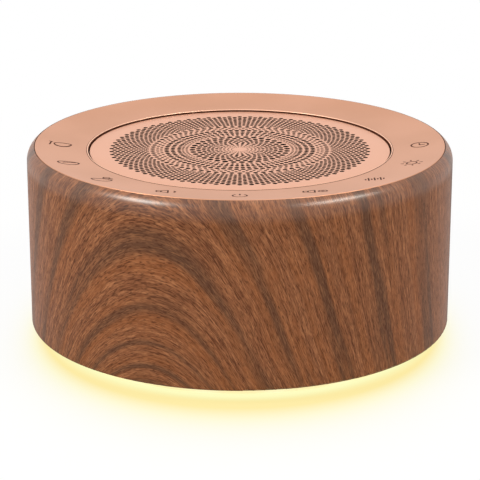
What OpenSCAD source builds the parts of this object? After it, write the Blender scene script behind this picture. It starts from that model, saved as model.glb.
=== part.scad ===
// Round table-top sound machine: a wood-grain sleeve with a dished touch ring, a rosette grille
// over an upward loudspeaker, a rechargeable cell inside and a ring of light under the base.
// Millimetres. The table top is z = 0, the body's axis is Z and the front faces -Y.

/* [Body] */
// Outside diameter of the shell
body_d = 120; // [112:1:140]
// Height of the shell, from its bottom edge to the rim of the control ring
shell_h = 51.7; // [50:0.1:64]
// Height of the shell's bottom edge above the table
base_lift = 4; // [3.5:0.5:8]
// Wall thickness of the shell
shell_wall = 2.8; // [2.4:0.1:3.4]
// Radius of the shell's round top edge
top_round = 4.8; // [3:0.1:6]
// Radius of the shell's round bottom edge
bottom_round = 0.8; // [0.3:0.1:1]
// Width of the ledge inside the shell that carries the top frame
ledge_w = 3; // [2:0.5:4]
// Thickness of that ledge
ledge_t = 2; // [1.5:0.5:3]

/* [Control ring] */
// Distance from the shell's side to the edge of the control ring
ring_inset = 2.3; // [1.8:0.1:2.8]
// Width of the control ring
ring_w = 14.5; // [12:0.5:17]
// How far the ring's inner edge lies below its rim
ring_dish = 1.75; // [0.5:0.05:2.2]
// Radius of the ring's hollow profile
ring_hollow_r = 155; // [80:5:300]
// Thickness of the ring at its inner edge
ring_t = 1.35; // [1:0.05:2]
// Bevel on the ring's upper edges
ring_bevel = 0.3; // [0.1:0.05:0.5]
// Thickness of the touch board under the ring
touch_t = 1; // [0.6:0.1:1.6]

/* [Grille] */
// Gap between the control ring and the grille
groove_w = 0.8; // [0.5:0.1:1.5]
// How far the grille lies below the ring's rim
grille_drop = 2.5; // [2:0.1:3.2]
// Thickness of the grille
grille_t = 1.2; // [0.8:0.1:1.8]
// Plain border round the holes
grille_border = 5.6; // [4:0.1:8]
// Holes in each ring of the outer field, twice those in the inner field
hole_count = 48; // [36:2:60]
// Diameter of a hole as a share of the spacing along its ring
hole_share = 0.35; // [0.2:0.05:0.42]
// Radius of the first of the two rings between the fields
mid_field_r = 24.4; // [22:0.1:26]
// Radius of the first ring of the inner field
inner_field_r = 20.5; // [16:0.1:21]
// Plain centre without holes, as a radius
plain_centre = 6; // [4:0.5:10]
// Thickness of the dust cloth under the grille
cloth_t = 0.3; // [0.2:0.1:0.6]

/* [Top frame] */
// Thickness of the frame's flange under the touch board
frame_t = 1.6; // [1.2:0.1:2.4]
// Thickness of the plate that the loudspeaker hangs from
plate_t = 2; // [1.5:0.1:2.5]
// Distance from the grille down to the underside of that plate
speaker_drop = 5; // [4.6:0.1:7]
// Width of the seat that carries the grille's edge
grille_seat_w = 2.6; // [2:0.1:4]
// Diameter of the four pillars that take the base screws
pillar_d = 7.2; // [6:0.2:8]

/* [Base] */
// Wall thickness of the base cover
base_wall = 1.8; // [1.2:0.1:2.2]
// Thickness of the base cover's floor
base_t = 2; // [1.6:0.1:3]
// Width of the light channel round the base
channel_w = 8.7; // [7.5:0.1:10]
// Height of the light channel above the shell's bottom edge
channel_h = 5; // [4.4:0.1:6.5]
// Wall thickness of the light diffuser
diffuser_t = 1.5; // [1:0.1:2]
// Gap between the diffuser and the table
diffuser_gap = 0.8; // [0.5:0.1:1.2]
// Number of light-emitting diodes
led_count = 18; // [12:1:30]
// Width of the rubber foot ring
foot_w = 10; // [8:0.5:11]
// Height of the foot ring below the base cover
foot_h = 1.5; // [1.3:0.1:3]

/* [Loudspeaker] */
// Diameter of the loudspeaker's round flange
speaker_d = 57; // [54:1:62]
// Diameter of the voice coil's former
coil_d = 14; // [12:0.5:16]
// Depth of the cone below the flange
cone_depth = 6.6; // [5:0.1:7]
// Diameter of the magnet
magnet_d = 36; // [32:1:40]
// Thickness of the magnet
magnet_t = 8; // [6:0.5:9]
// Thickness of the steel plates at both ends of the magnet
steel_t = 3; // [2.5:0.1:3.2]
// Width of the surround's half-round roll
roll_w = 4.3; // [3.4:0.1:4.6]

/* [Electronics] */
// Width of the main board
board_w = 46; // [40:1:47]
// Thickness of the boards
board_t = 1.6; // [1:0.1:2]
// Width of the battery cell
battery_w = 32; // [26:1:33]
// Length of the battery cell
battery_l = 50; // [40:1:56]
// Thickness of the battery cell
battery_t = 8; // [5:0.5:9]
// Width of the charging socket
usb_w = 9; // [8.6:0.1:9.4]
// Height of the charging socket
usb_h = 3.2; // [3:0.1:3.4]
// Diameter of the inner leads
lead_d = 1.2; // [0.8:0.1:1.6]

/* [Fit] */
// Clearance between pieces that slip together
fit = 0.2; // [0.1:0.05:0.3]
// Clearance each side of the voice coil in its magnet gap
coil_gap = 0.35; // [0.3:0.05:0.5]

/* [Hidden] */
$fn = 128;
over = 1;                                   // how far a cut runs past the face that it opens

// Shell and control ring
body_r = body_d / 2;
shell_in_r = body_r - shell_wall;
rim_z = base_lift + shell_h;
ring_r = body_r - ring_inset;
bore_r = ring_r - ring_w;
ring_z0 = rim_z - ring_dish - ring_t;
dish_chord = norm([ring_w, ring_dish]);
dish_height = sqrt(ring_hollow_r * ring_hollow_r - dish_chord * dish_chord / 4);
dish_centre = [
    (ring_r + bore_r) / 2 - dish_height * ring_dish / dish_chord,
    rim_z - ring_dish / 2 + dish_height * ring_w / dish_chord
];
round_x = body_r - top_round;
round_z = rim_z - sqrt(max(0, top_round * top_round - (ring_r - round_x) * (ring_r - round_x)));
flange_z1 = ring_z0 - touch_t;
flange_z0 = flange_z1 - frame_t;
ledge_z0 = flange_z0 - ledge_t;
rebate_r = ring_r + fit;
frame_r = ring_r;
ring_rest_w = 1.2;                          // width of the two rims that the control ring rests on
skirt_w = 1.2;                              // overlap of the base cover's flange under the shell
skirt_t = 1;                                // thickness of that flange

// Grille and frame
grille_r = bore_r - groove_w;
grille_z1 = rim_z - grille_drop;
grille_z0 = grille_z1 - grille_t;
field_r = grille_r - grille_border;
seat_r = grille_r - grille_seat_w;
cloth_r = seat_r - fit;
plate_z0 = grille_z0 - speaker_drop;
plate_z1 = plate_z0 + plate_t;
// A ring is the last one shrunk by a ratio that sets a hole's six neighbours equally far away
outer_ratio = exp(-PI / (sqrt(3) * hole_count));
inner_ratio = outer_ratio * outer_ratio;
outer_field_r = field_r / (1 + hole_share * PI / hole_count);
field_gap = 1.1;                            // least plain band between the outer field and the middle rings
outer_rings = 1 + floor(ln((mid_field_r + field_gap) / outer_field_r) / ln(outer_ratio));
mid_rings = 2;
inner_rings = 1 + floor(ln(plain_centre / inner_field_r) / ln(inner_ratio));

// Loudspeaker, with its heights counted from the top of its flange
surround_t = 0.4;
gasket_t = 0.8;
speaker_z = plate_z0 - gasket_t - surround_t;
speaker_r = speaker_d / 2;
flange_t = 1;
flange_w = 3;
mouth_r = speaker_r - flange_w;
ear_r = 3.4;
ear_reach = 3;                              // from the flange's edge to the screws
ear_circle_r = speaker_r + ear_reach;
cloth_clear = 1;                            // room between the screw bosses and the dust cloth
speaker_boss_h = speaker_drop - cloth_clear;
speaker_boss_r = 3;
boss_end = 0.6;                             // closed end of a screw hole
sheet_t = 0.8;                              // thickness of the pressed steel of the basket
coil_r = coil_d / 2;
former_t = 0.2;
wire_t = 0.3;
pole_r = coil_r - coil_gap;
gap_r = coil_r + former_t + wire_t + coil_gap;
cone_t = 0.6;
cone_lip_w = 1.2;
cone_curve = 1.2;                           // exponent of the cone's flare
cone_r = mouth_r - roll_w + surround_t;
neck_r = coil_r + former_t;
flare_r = cone_r - cone_lip_w;
cap_lap = 2;                                // how far the dust cap reaches past the coil
cap_h = 3;
cap_t = 0.4;
spider_drop = 2.2;
spider_z = -cone_depth - spider_drop;
spider_t = 0.35;
spider_wave = 0.5;
spider_waves = 4;
spider_flat = 0.5;                          // plain bands inside and outside the waves
spider_lip_w = 2;
spider_w = 7.8;
cup_r = coil_r + spider_w;
cup_h = 3;
seat_out_r = cup_r + spider_lip_w + fit;
cup_z = spider_z - cup_h;
plate_top_z = cup_z - sheet_t;
magnet_z1 = plate_top_z - steel_t;
magnet_z0 = magnet_z1 - magnet_t;
yoke_z0 = magnet_z0 - steel_t;
magnet_r = magnet_d / 2;
magnet_inset = 2.4;                         // from the coil's gap to the magnet's bore
yoke_inset = 1.5;                           // from the magnet's edge to the yoke's
wire_over = 0.2;                            // how far the winding passes the top plate
former_lap = 0.6;                           // how far the former reaches into the cone
gasket_inset = 0.4;
window_count = 6;
window_w = 8;
window_margin = 0.4;
terminal_a = -50;                           // side of the basket that carries the terminals
terminal_w = 10;
terminal_t = 1.2;
tag_l = 3.5;
tag_w = 2.4;
tag_t = 0.4;
tag_lift = 0.7;
tag_gap = 5;

// Base
base_r = shell_in_r - fit;
channel_out_r = base_r - base_wall;
channel_in_r = channel_out_r - channel_w;
well_r = channel_in_r - base_wall;
step_w = 1;
step_z = base_lift + skirt_t;
channel_z = base_lift + channel_h;
channel_top_z = channel_z + base_wall;
floor_z = foot_h + base_t;
foot_inlay = 0.5;
foot_z1 = foot_h + foot_inlay;
foot_bevel = 0.4;
pillar_r = pillar_d / 2;
pillar_gap = 2;
pillar_circle_r = well_r - pillar_r - pillar_gap;
base_screw_r = 1.4;
base_head_r = 2.8;
base_head_h = 1.8;
base_screw_l = 10;
screw_seat_z = foot_z1 + fit + base_head_h;
boss_wall = 2.2;
boss_floor = 2;
screw_boss_r = base_head_r + boss_wall;
screw_boss_z = screw_seat_z + boss_floor;
led_board_t = 1;
led_board_in_r = channel_in_r + step_w + fit;
led_board_out_r = channel_out_r - step_w - fit;
led_circle_r = (led_board_in_r + led_board_out_r) / 2;
led_w = 3;
led_l = 2.8;
led_h = 1.4;
led_lead_a = 48;                            // where the light board's leads pass into the body

// Main board, battery and charging socket
tape_t = 0.5;
tape_margin = 2.5;
tape_round = 1;
cell_round = 3;
battery_z = floor_z + tape_t;
board_clear = 1;
board_z0 = max(battery_z + battery_t, channel_top_z) + board_clear;
board_z1 = board_z0 + board_t;
board_front_y = -36;
board_end_gap = 2.2;
board_back_y = shell_in_r - board_end_gap;
neck_w = 16;
neck_l = 7;
board_neck_y = board_back_y - neck_l;
post_r = 2.8;
post_inset = 3;
post_front_inset = 4;
post_back_inset = 10;
post_x = board_w / 2 - post_inset;
post_front_y = board_front_y + post_front_inset;
post_back_y = board_neck_y - post_back_inset;
post_places = [for (x = [-post_x, post_x], y = [post_front_y, post_back_y]) [x, y]];
small_screw_r = 0.95;
small_head_r = 1.9;
small_head_h = 1.3;
small_screw_l = 6;
small_hole_end = 1;                         // room past a small screw's tip
fence_h = 3;
fence_t = 1.2;
controller_at = [0, 0];
controller = [7, 7, 1];
amplifier_at = [9, -16];
charger_inset = 8;
charger_at = [-8, board_neck_y - charger_inset];
small_chip = [5, 4, 1.2];
edge_inset = 6;                             // from the board's edges to the parts that stand along them
edge_part_x = board_w / 2 - edge_inset;
can_places = [[-edge_part_x, 20], [-edge_part_x, 29]];
can_r = 3.15;
can_h = 7.7;
can_base = [6.6, 6.6, 0.8];
inductor_at = [6, 32];
inductor_w = 6;
inductor_h = 3;
inductor_round = 1.2;
usb_l = 7.3;
usb_recess = 1;
usb_wall = 0.3;
usb_back_t = 1;
usb_tongue_t = 0.7;
usb_tongue_side = 1.15;
usb_tongue_w = usb_w - 2 * usb_tongue_side;
usb_tongue_recess = 1.2;
usb_y1 = body_r - usb_recess;
usb_z = board_z1 + usb_h / 2;
ribbon_w = 8;
ribbon_t = 0.3;
ribbon_inset = 3.9;                         // from the touch board's inner edge to the ribbon
ribbon_y = -(bore_r + ring_rest_w + fit + ribbon_inset);
ribbon_bend_r = 2;
ribbon_lift = 1;
ribbon_z = board_z1 + ribbon_lift;
ribbon_slot = [ribbon_w + 2, 2.4];
ribbon_socket = [ribbon_w + 4, 4, 2];
header = [6, 4.5, 5];
speaker_header = [edge_part_x, -22];
battery_header = [-edge_part_x, -22];
led_header = [edge_part_x, 24];

// Routes of the inner leads
lead_gap = 1.8;
lead_clear = 0.6;
lead_hole_r = (lead_gap + lead_d) / 2 + lead_clear;
lead_steps = 4;
lead_ref = [0.31, 0.87, 0.38];
tag_z = speaker_z + cup_z + tag_lift + tag_t / 2;
tag_tip_r = cup_r + sheet_t + terminal_t + tag_l;
tag_tip = [tag_tip_r * cos(terminal_a), tag_tip_r * sin(terminal_a), tag_z];
header_top = board_z1 + header[2];
led_exit = [led_circle_r * cos(led_lead_a), led_circle_r * sin(led_lead_a), channel_z];
tab_l = 3;
tab_t = 1.2;
tab_inset = 4;
tab_z = battery_z + battery_t / 2;
speaker_route = [
    tag_tip,
    tag_tip + [1.5, -2, -0.5],
    [18, -24, 28],
    [speaker_header[0], speaker_header[1], header_top + 3],
    [speaker_header[0], speaker_header[1], header_top]
];
battery_route = [
    [-7, -battery_l / 2 - tab_l, tab_z],
    [-7, -battery_l / 2 - tab_l - 4, tab_z],
    [-12, -40, 12],
    [-16, -36, 20],
    [battery_header[0], battery_header[1], header_top + 3],
    [battery_header[0], battery_header[1], header_top]
];
led_route = [
    led_exit,
    led_exit + [0, 0, 5],
    [25, 36, 19],
    [led_header[0], led_header[1], header_top + 3],
    [led_header[0], led_header[1], header_top]
];

function unit(v) = v / norm(v);

function spline(a, b, c, d, t) =
    (2 * b + (c - a) * t + (2 * a - 5 * b + 4 * c - d) * t * t + (3 * b - a - 3 * c + d) * t * t * t) / 2;

// Smooth curve through hand-chosen points
function smooth(p) = let (last = len(p) - 1) [
    for (i = [0 : last - 1], j = [0 : lead_steps - 1])
        spline(p[max(i - 1, 0)], p[i], p[i + 1], p[min(i + 2, last)], j / lead_steps),
    p[last]
];

// Rectangle of a turned profile, between two radii and two heights
module band(r0, r1, z0, z1) {
    translate([r0, z0]) square([r1 - r0, z1 - z0]);
}

module disc(r, z0, z1) {
    translate([0, 0, z0]) cylinder(r = r, h = z1 - z0);
}

module obround(w, h) {
    square([w - h, h], center = true);
    for (side = [-1, 1]) translate([side * (w - h) / 2, 0]) circle(d = h);
}

module rounded_rect(w, l, r) {
    square([w - 2 * r, l], center = true);
    square([w, l - 2 * r], center = true);
    for (x = [-1, 1], y = [-1, 1]) translate([x * (w / 2 - r), y * (l / 2 - r)]) circle(r = r);
}

// Copies on a circle, the first at angle a
module around(count, r, a = 0) {
    for (i = [0 : count - 1]) rotate([0, 0, a + i * 360 / count]) translate([r, 0, 0]) children();
}

// Bevel of leg w on the corner of a turned profile
module corner_bevel(r, z, w) {
    translate([r, z]) rotate(45) square(w * sqrt(2), center = true);
}

// Pan-head screw with its head's seat at z = 0 and its shank upwards
module screw(shank_r, shank_l, head_r, head_h) {
    cylinder(r = shank_r, h = shank_l);
    translate([0, 0, -head_h]) cylinder(r = head_r, h = head_h);
}

// Round lead along a smooth route, square to what it meets at both ends
module lead(route) {
    sides = 8;
    path = smooth(route);
    last = len(path) - 1;
    dirs = concat(
        [unit(route[1] - route[0])],
        [for (i = [1 : last - 1]) unit(path[i + 1] - path[i - 1])],
        [unit(route[len(route) - 1] - route[len(route) - 2])]
    );
    rings = [
        for (i = [0 : last])
            let (s = unit(cross(dirs[i], lead_ref)), u = cross(dirs[i], s))
                for (k = [0 : sides - 1])
                    path[i] + lead_d / 2 * (cos(360 * k / sides) * s + sin(360 * k / sides) * u)
    ];
    walls = [
        for (i = [0 : last - 1], k = [0 : sides - 1])
            let (a = i * sides + k, b = i * sides + (k + 1) % sides)
                for (face = [[a, a + sides, b], [b, a + sides, b + sides]]) face
    ];
    ends = [
        for (k = [1 : sides - 2], face = [[0, k, k + 1], last * sides * [1, 1, 1] + [0, k + 1, k]]) face
    ];
    polyhedron(points = rings, faces = concat(walls, ends));
}

module lead_pair(route) {
    for (side = [-0.5, 0.5]) lead([for (p = route) p + [side * lead_gap, 0, 0]]);
}

// Wood-grain sleeve with its round edges, the ledge for the top frame and the socket's opening
module outer_shell() {
    color("#7f5036") difference() {
        rotate_extrude() difference() {
            union() {
                band(bottom_round, body_r - bottom_round, base_lift, base_lift + bottom_round);
                translate([body_r - bottom_round, base_lift + bottom_round]) circle(r = bottom_round);
                band(bottom_round, body_r, base_lift + bottom_round, round_z);
                band(bottom_round, round_x, round_z, round_z + top_round);
                translate([round_x, round_z]) circle(r = top_round);
            }
            band(0, shell_in_r, base_lift - over, ledge_z0);
            band(0, shell_in_r - ledge_w, ledge_z0 - over, flange_z0 + over);
            band(0, rebate_r, flange_z0, rim_z + top_round);
            band(0, base_r + skirt_w + fit, base_lift - over, step_z);
        }
        translate([0, body_r + over, usb_z]) rotate([90, 0, 0])
            linear_extrude(shell_wall + 2 * over) obround(usb_w + 2 * fit, usb_h + 2 * fit);
    }
}

// Dished ring with the touch keys, bevelled at its rim and at its bore
module control_ring() {
    color("#dca98e") rotate_extrude() difference() {
        band(bore_r, ring_r, ring_z0, rim_z);
        translate(dish_centre) circle(r = ring_hollow_r, $fn = 720);
        corner_bevel(ring_r, rim_z, ring_bevel);
        corner_bevel(bore_r, rim_z - ring_dish, ring_bevel);
    }
}

module hole_ring(r, count, shift) {
    hole_d = hole_share * r * 2 * PI / count;
    for (i = [0 : count - 1])
        rotate((i + shift) * 360 / count) translate([r, 0]) circle(d = hole_d, $fn = 16);
}

// One field of the rosette: each ring is the last one shrunk, and turned by half a space
module hole_field(first_r, ratio, rings, count, turn = 0) {
    for (k = [0 : rings - 1]) hole_ring(first_r * pow(ratio, k), count, ((k + turn) % 2) / 2);
}

module speaker_grille() {
    color("#f0baa0") translate([0, 0, grille_z0]) linear_extrude(grille_t) difference() {
        circle(r = grille_r, $fn = 240);
        hole_field(outer_field_r, outer_ratio, outer_rings, hole_count);
        hole_field(mid_field_r, inner_ratio, mid_rings, hole_count, outer_rings);
        hole_field(inner_field_r, inner_ratio, inner_rings, hole_count / 2);
    }
}

module grille_cloth() {
    color("#1d1816") disc(cloth_r, grille_z0 - cloth_t, grille_z0);
}

// Moulded frame: it sits on the shell's ledge and carries the ring, the grille and the loudspeaker
module top_frame() {
    color("#2b2b2d") difference() {
        union() {
            rotate_extrude() {
                band(mouth_r + fit, grille_r, plate_z0, plate_z1);
                band(seat_r, bore_r - fit, plate_z0, grille_z0);
                band(grille_r + fit, frame_r, flange_z0, flange_z1);
                band(bore_r, bore_r + ring_rest_w, flange_z0, ring_z0);
                band(frame_r - ring_rest_w, frame_r, flange_z0, ring_z0);
            }
            around(4, pillar_circle_r, 45) disc(pillar_r, screw_boss_z, plate_z1);
            around(4, ear_circle_r) disc(speaker_boss_r, plate_z0, plate_z0 + speaker_boss_h);
        }
        around(4, pillar_circle_r, 45)
            disc(base_screw_r + fit / 4, screw_boss_z - over, screw_boss_z + base_screw_l);
        around(4, ear_circle_r)
            disc(small_screw_r + fit / 4, plate_z0 - over, plate_z0 + speaker_boss_h - boss_end);
        translate([0, ribbon_y, flange_z0 - over]) linear_extrude(frame_t + 2 * over)
            square(ribbon_slot, center = true);
    }
}

module touch_board() {
    color("#23593a") rotate_extrude()
        band(bore_r + ring_rest_w + fit, frame_r - ring_rest_w - fit, flange_z1, ring_z0);
}

// Flat ribbon from the touch board down to its socket on the main board
module touch_ribbon() {
    color("#d9d6cc") translate([-ribbon_w / 2, 0, 0]) rotate([90, 0, 90]) linear_extrude(ribbon_w) {
        band(ribbon_y - ribbon_t / 2, ribbon_y + ribbon_t / 2, ribbon_z + ribbon_bend_r, flange_z1);
        translate([ribbon_y + ribbon_bend_r, ribbon_z + ribbon_bend_r]) intersection() {
            difference() {
                circle(r = ribbon_bend_r + ribbon_t / 2);
                circle(r = ribbon_bend_r - ribbon_t / 2);
            }
            translate([-2 * ribbon_bend_r, -2 * ribbon_bend_r]) square(2 * ribbon_bend_r);
        }
        band(ribbon_y + ribbon_bend_r, board_front_y, ribbon_z - ribbon_t / 2, ribbon_z + ribbon_t / 2);
    }
}

// Pressed steel basket with its ears, windows and spider seat
module speaker_basket() {
    color("#3a3a3e") translate([0, 0, speaker_z]) difference() {
        union() {
            rotate_extrude() polygon([
                [speaker_r, 0], [speaker_r, -flange_t], [mouth_r + sheet_t, -flange_t],
                [seat_out_r + sheet_t / 2, spider_z - sheet_t], [cup_r + sheet_t, spider_z - sheet_t],
                [cup_r + sheet_t, plate_top_z], [gap_r + sheet_t, plate_top_z], [gap_r + sheet_t, cup_z],
                [cup_r, cup_z], [cup_r, spider_z], [seat_out_r, spider_z],
                [mouth_r, -flange_t / 2], [mouth_r, 0]
            ]);
            difference() {
                around(4, ear_circle_r) disc(ear_r, -flange_t, 0);
                disc(speaker_r - flange_w / 2, -flange_t - over, over);
            }
        }
        around(4, ear_circle_r) disc(small_screw_r + fit, -flange_t - over, over);
        around(window_count, 0, 30)
            translate([seat_out_r + sheet_t + window_margin, -window_w / 2, spider_z + window_margin])
                cube([
                    mouth_r - seat_out_r - 2 * sheet_t - 3 * window_margin,
                    window_w,
                    -spider_z - flange_t - 2 * window_margin
                ]);
    }
}

module speaker_top_plate() {
    color("#9a9da1") translate([0, 0, speaker_z]) rotate_extrude()
        band(gap_r, cup_r, magnet_z1, plate_top_z);
}

module speaker_magnet() {
    color("#2a2a2c") translate([0, 0, speaker_z]) rotate_extrude()
        band(gap_r + magnet_inset, magnet_r, magnet_z0, magnet_z1);
}

module speaker_yoke() {
    color("#9a9da1") translate([0, 0, speaker_z]) rotate_extrude() {
        band(0, magnet_r - yoke_inset, yoke_z0, magnet_z0);
        band(0, pole_r, magnet_z0, plate_top_z);
    }
}

// Former and winding, with the winding level with the top plate
module voice_coil() {
    color("#b5733a") translate([0, 0, speaker_z]) rotate_extrude() {
        band(coil_r, coil_r + former_t, magnet_z1 - wire_over, former_lap - cone_depth);
        band(coil_r + former_t, coil_r + former_t + wire_t, magnet_z1 - wire_over, plate_top_z + wire_over);
    }
}

// Corrugated disc that centres the coil
module spider() {
    wave_r0 = coil_r + former_t + spider_flat;
    wave_r1 = cup_r - spider_flat;
    steps = 8 * spider_waves;
    low = concat(
        [[coil_r + former_t, spider_z]],
        [for (i = [0 : steps]) [
            wave_r0 + (wave_r1 - wave_r0) * i / steps,
            spider_z + spider_wave * sin(360 * spider_waves * i / steps)
        ]],
        [[cup_r + spider_lip_w, spider_z]]
    );
    high = [for (i = [len(low) - 1 : -1 : 0]) low[i] + [0, spider_t]];
    color("#c8a24a") translate([0, 0, speaker_z]) rotate_extrude() polygon(concat(low, high));
}

// Upper face of the cone at a radius
function cone_z(r) = cone_depth * (pow((r - neck_r) / (flare_r - neck_r), cone_curve) - 1);

module cone() {
    steps = 8;
    radii = [for (i = [0 : steps]) neck_r + (flare_r - neck_r) * i / steps];
    upper = [for (r = radii) [r, cone_z(r)]];
    lower = [for (i = [steps : -1 : 0]) [radii[i], cone_z(radii[i]) - cone_t]];
    color("#3b3a3a") translate([0, 0, speaker_z]) rotate_extrude()
        polygon(concat(upper, [[cone_r, 0], [cone_r, -cone_t]], lower));
}

module dust_cap() {
    cap_r = coil_r + cap_lap;
    ball_r = (cap_r * cap_r + cap_h * cap_h) / (2 * cap_h);
    color("#2f2e2e") translate([0, 0, speaker_z + cone_z(cap_r)]) rotate_extrude() intersection() {
        translate([0, cap_h - ball_r]) difference() {
            circle(r = ball_r, $fn = 360);
            circle(r = ball_r - cap_t, $fn = 360);
        }
        band(0, cap_r, 0, cap_h);
    }
}

// Half-round rubber roll between the cone and the flange
module surround() {
    roll_x = mouth_r - roll_w / 2 + surround_t / 2;
    color("#1c1c1d") translate([0, 0, speaker_z]) rotate_extrude() {
        intersection() {
            translate([roll_x, 0]) difference() {
                circle(d = roll_w);
                circle(d = roll_w - 2 * surround_t);
            }
            band(roll_x - roll_w, roll_x + roll_w, 0, roll_w);
        }
        band(cone_r - cone_lip_w, roll_x - roll_w / 2 + surround_t, 0, surround_t);
        band(roll_x + roll_w / 2 - surround_t, speaker_r - fit, 0, surround_t);
    }
}

module speaker_gasket() {
    color("#202022") translate([0, 0, speaker_z]) rotate_extrude()
        band(mouth_r + gasket_inset, speaker_r - fit, surround_t, surround_t + gasket_t);
}

// Terminal strip on the basket's cup, with two solder tags
module speaker_terminals() {
    cup_out_r = cup_r + sheet_t;
    color("#b99a5b") translate([0, 0, speaker_z]) rotate([0, 0, terminal_a]) {
        intersection() {
            rotate_extrude() band(cup_out_r, cup_out_r + terminal_t, plate_top_z, spider_z - sheet_t);
            translate([0, -terminal_w / 2, plate_top_z - over]) cube([speaker_d, terminal_w, -plate_top_z]);
        }
        for (side = [-0.5, 0.5])
            translate([cup_out_r + terminal_t / 2, side * tag_gap - tag_w / 2, cup_z + tag_lift])
                cube([terminal_t / 2 + tag_l, tag_w, tag_t]);
    }
}

module speaker_screws() {
    shank_l = flange_t + gasket_t + surround_t + speaker_boss_h - small_hole_end;
    color("#b9bcc0") around(4, ear_circle_r) translate([0, 0, speaker_z - flange_t])
        screw(small_screw_r, shank_l, small_head_r, small_head_h);
}

// Main board with a neck that reaches back to the charging socket
module main_board() {
    color("#1f5a3c") translate([0, 0, board_z0]) linear_extrude(board_t) difference() {
        union() {
            translate([-board_w / 2, board_front_y]) square([board_w, board_neck_y - board_front_y]);
            translate([-neck_w / 2, board_neck_y - over])
                square([neck_w, board_back_y - board_neck_y + over]);
        }
        for (p = post_places) translate(p) circle(r = small_screw_r + fit);
    }
}

module board_screws() {
    color("#b9bcc0") for (p = post_places) translate([p[0], p[1], board_z1]) mirror([0, 0, 1])
        screw(small_screw_r, small_screw_l, small_head_r, small_head_h);
}

// Box of a given size that stands on the main board
module on_board(at, size) {
    translate([at[0] - size[0] / 2, at[1] - size[1] / 2, board_z1]) cube(size);
}

// Controller, sound amplifier and charger
module chips() {
    color("#222326") {
        on_board(controller_at, controller);
        on_board(amplifier_at, small_chip);
        on_board(charger_at, small_chip);
    }
}

module capacitors() {
    color("#8d9298") for (p = can_places) {
        translate(p) disc(can_r, board_z1, board_z1 + can_h);
        on_board(p, can_base);
    }
}

module inductor() {
    color("#55575b") translate([inductor_at[0], inductor_at[1], board_z1])
        linear_extrude(inductor_h) rounded_rect(inductor_w, inductor_w, inductor_round);
}

// Lead headers and the ribbon's socket
module board_connectors() {
    color("#e8e2d2") {
        for (p = [speaker_header, battery_header, led_header]) on_board(p, header);
        on_board([0, board_front_y + ribbon_socket[1] / 2], ribbon_socket);
    }
}

// Charging socket: a thin oval sleeve, its back and the contact tongue
module usb_inlet() {
    color("#c3c6ca") translate([0, usb_y1, usb_z]) rotate([90, 0, 0]) {
        linear_extrude(usb_l) difference() {
            obround(usb_w, usb_h);
            obround(usb_w - 2 * usb_wall, usb_h - 2 * usb_wall);
        }
        translate([0, 0, usb_l - usb_back_t]) linear_extrude(usb_back_t) obround(usb_w, usb_h);
        translate([0, 0, usb_tongue_recess]) linear_extrude(usb_l - usb_tongue_recess - usb_back_t / 2)
            square([usb_tongue_w, usb_tongue_t], center = true);
    }
}

// Flat pouch cell with its sealed tab at the front
module battery_cell() {
    color("#b8bdc4") {
        translate([0, 0, battery_z]) linear_extrude(battery_t)
            rounded_rect(battery_w, battery_l, cell_round);
        translate([tab_inset - battery_w / 2, -battery_l / 2 - tab_l, tab_z - tab_t / 2])
            cube([battery_w - 2 * tab_inset, tab_l + over, tab_t]);
    }
}

module battery_tape() {
    color("#e9e4d8") translate([0, 0, floor_z]) linear_extrude(tape_t)
        rounded_rect(battery_w - 2 * tape_margin, battery_l - 2 * tape_margin, tape_round);
}

// Base cover: a well for the cell, a channel for the light and a flange under the shell
module base_cover() {
    color("#2b2b2d") difference() {
        union() {
            rotate_extrude() {
                band(0, channel_in_r, foot_h, floor_z);
                band(well_r, channel_in_r, foot_h, channel_top_z);
                band(channel_in_r - over, channel_in_r + step_w, step_z, channel_top_z);
                band(well_r, base_r, channel_z, channel_top_z);
                band(channel_out_r - step_w, base_r, step_z, channel_top_z);
                band(channel_out_r, base_r + skirt_w, base_lift, step_z);
            }
            around(4, pillar_circle_r, 45) disc(screw_boss_r, foot_h, screw_boss_z);
            for (p = post_places) translate([p[0], p[1], 0]) disc(post_r, foot_h, board_z0);
            translate([0, 0, floor_z - over]) linear_extrude(fence_h + over) difference() {
                square([battery_w + 2 * (fit + fence_t), battery_l + 2 * (fit + fence_t)], center = true);
                square([battery_w + 2 * fit, battery_l + 2 * fit], center = true);
            }
        }
        rotate_extrude()
            band(pillar_circle_r - foot_w / 2, pillar_circle_r + foot_w / 2, foot_h - over, foot_z1);
        around(4, pillar_circle_r, 45) {
            disc(base_screw_r + fit, foot_h, screw_boss_z + over);
            disc(base_head_r + fit, foot_h, screw_seat_z);
        }
        for (p = post_places) translate([p[0], p[1], 0])
            disc(small_screw_r + fit / 4, board_z1 - small_screw_l - small_hole_end, board_z0 + over);
        translate([led_exit[0], led_exit[1], 0]) disc(lead_hole_r, channel_z - over, channel_top_z + over);
    }
}

module base_screws() {
    color("#b9bcc0") around(4, pillar_circle_r, 45) translate([0, 0, screw_seat_z])
        screw(base_screw_r, base_screw_l, base_head_r, base_head_h);
}

module led_board() {
    color("#f2f2ee") rotate_extrude()
        band(led_board_in_r, led_board_out_r, channel_z - led_board_t, channel_z);
}

module leds() {
    color("#ffe9a8") around(led_count, led_circle_r)
        translate([-led_w / 2, -led_l / 2, channel_z - led_board_t - led_h]) cube([led_w, led_l, led_h]);
}

// Milky trough that closes the light channel
module light_diffuser() {
    in_r = channel_in_r + fit;
    out_r = channel_out_r - fit;
    corner = diffuser_t;
    color("#fff3cf") rotate_extrude() difference() {
        union() {
            band(in_r, out_r, diffuser_gap + corner, step_z);
            band(in_r, out_r - corner, diffuser_gap, step_z);
            translate([out_r - corner, diffuser_gap + corner]) circle(r = corner);
        }
        band(in_r + diffuser_t, out_r - diffuser_t, diffuser_gap + diffuser_t, step_z + over);
    }
}

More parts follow.
